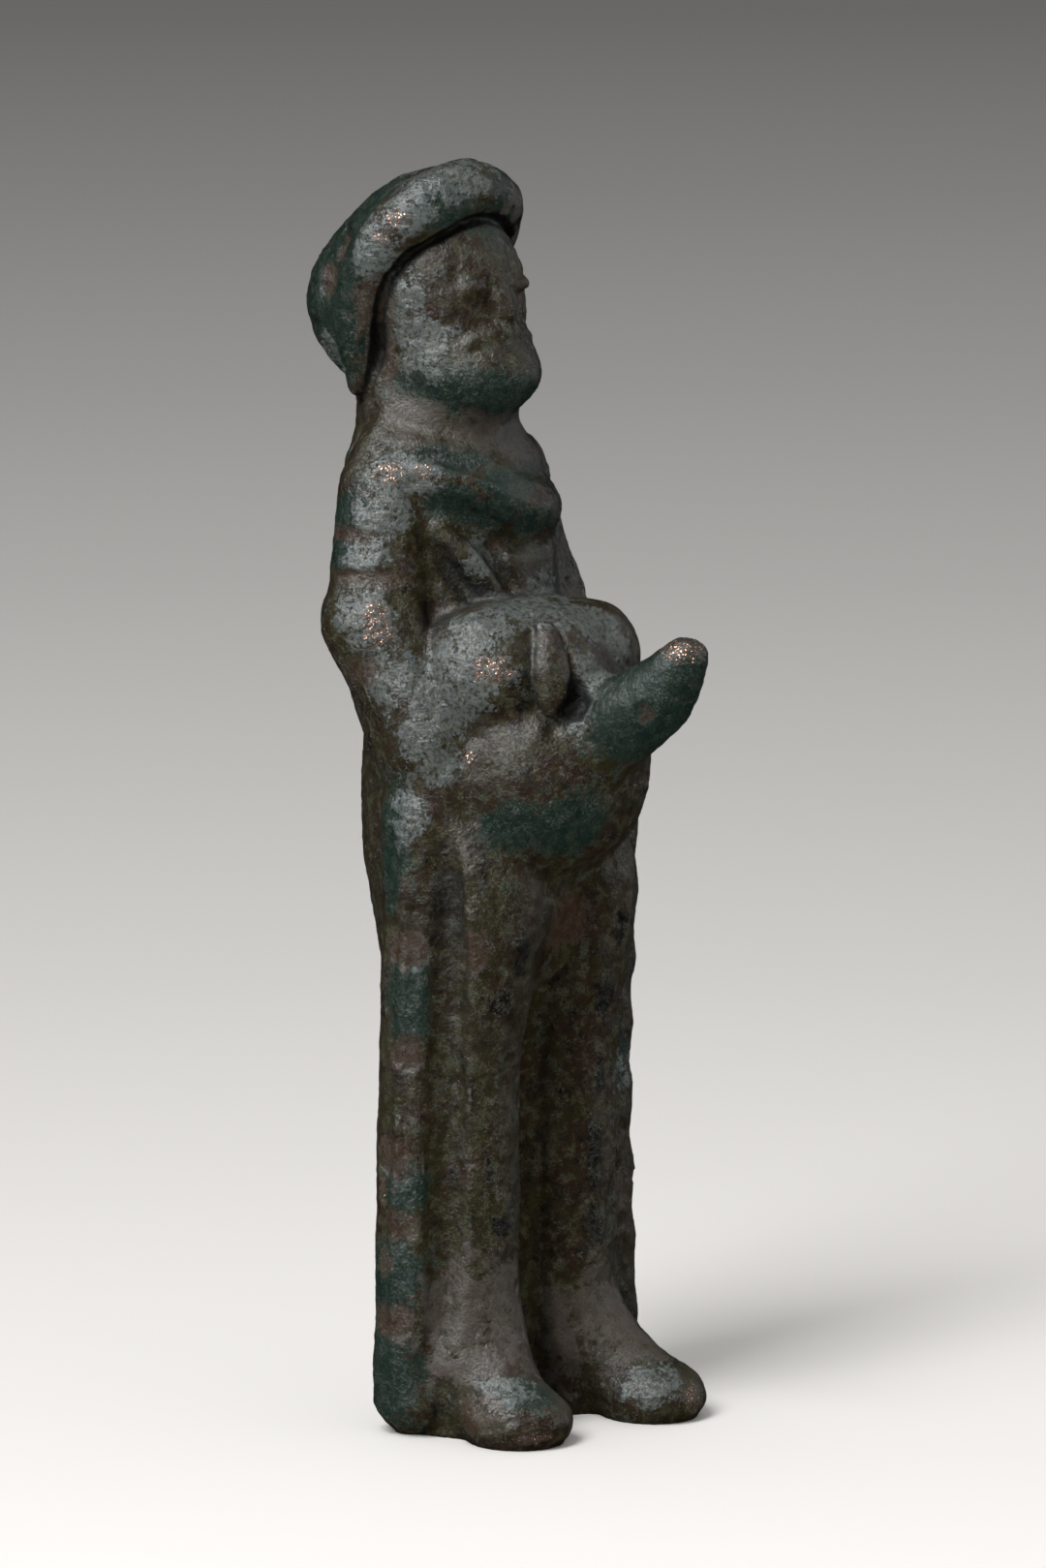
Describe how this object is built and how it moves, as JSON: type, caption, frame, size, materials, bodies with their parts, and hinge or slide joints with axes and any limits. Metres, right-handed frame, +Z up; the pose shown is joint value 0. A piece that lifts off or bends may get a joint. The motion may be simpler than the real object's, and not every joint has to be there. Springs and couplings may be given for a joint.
{
  "type": "bronze figurine",
  "caption": "Small solid cast votive statuette of a bearded, cloaked garden god in a cap, leaning back with a lap of fruit; stands on its own hem and feet.",
  "frame": {"origin": "on the ground plane, in the middle of the cloak's hem behind the feet", "axes": "+Z up the standing figure, -Y the way it faces, +X to its own left"},
  "size_m": [0.0232, 0.0332, 0.0835],
  "materials": {
    "bronze": "old cast bronze under a dark olive and blue-green patina, waxed to a soft sheen, with pale crust, brown flakes and small bare copper spots"
  },
  "bodies": {
    "root": {"figurine": "bronze"}
  },
  "joints": []
}
